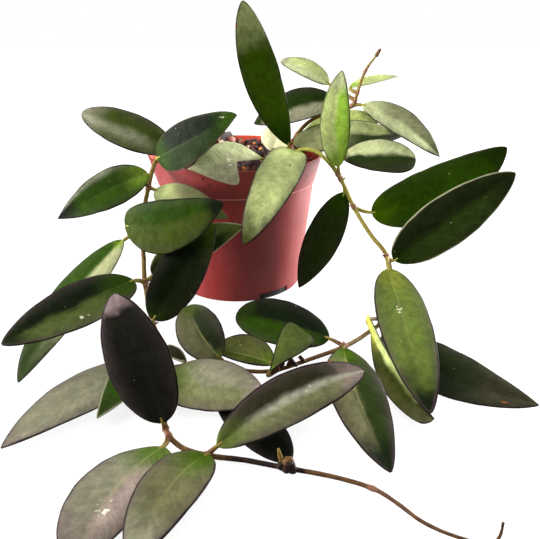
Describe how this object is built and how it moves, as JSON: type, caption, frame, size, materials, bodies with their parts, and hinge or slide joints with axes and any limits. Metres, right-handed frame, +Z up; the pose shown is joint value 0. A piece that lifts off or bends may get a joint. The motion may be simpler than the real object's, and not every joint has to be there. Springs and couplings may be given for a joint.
{
  "type": "potted trailing hoya",
  "caption": "Small-leaved hoya in a flared plastic nursery pot, with long leafy stems that hang over the rim and trail along the surface.",
  "frame": {"origin": "middle of the pot's underside, on the surface it stands on", "axes": "+Z up along the pot's axis, -Y towards the front where the long stems trail, +X to the right"},
  "size_m": [0.2759, 0.3056, 0.186],
  "materials": {
    "pot_plastic": "terracotta-red moulded plastic with a soft sheen",
    "bark_soil": "dark red-brown bark chips with pale and yellow grit",
    "foliage": "thick waxy green leaves, some dusty grey and some nearly black, on yellow-brown stems"
  },
  "bodies": {
    "root": {"pot": "pot_plastic", "soil": "bark_soil", "upright_shoot": "foliage", "front_shoot": "foliage", "side_shoot": "foliage", "back_shoot": "foliage", "right_trailer": "foliage", "left_trailer": "foliage"}
  },
  "joints": []
}
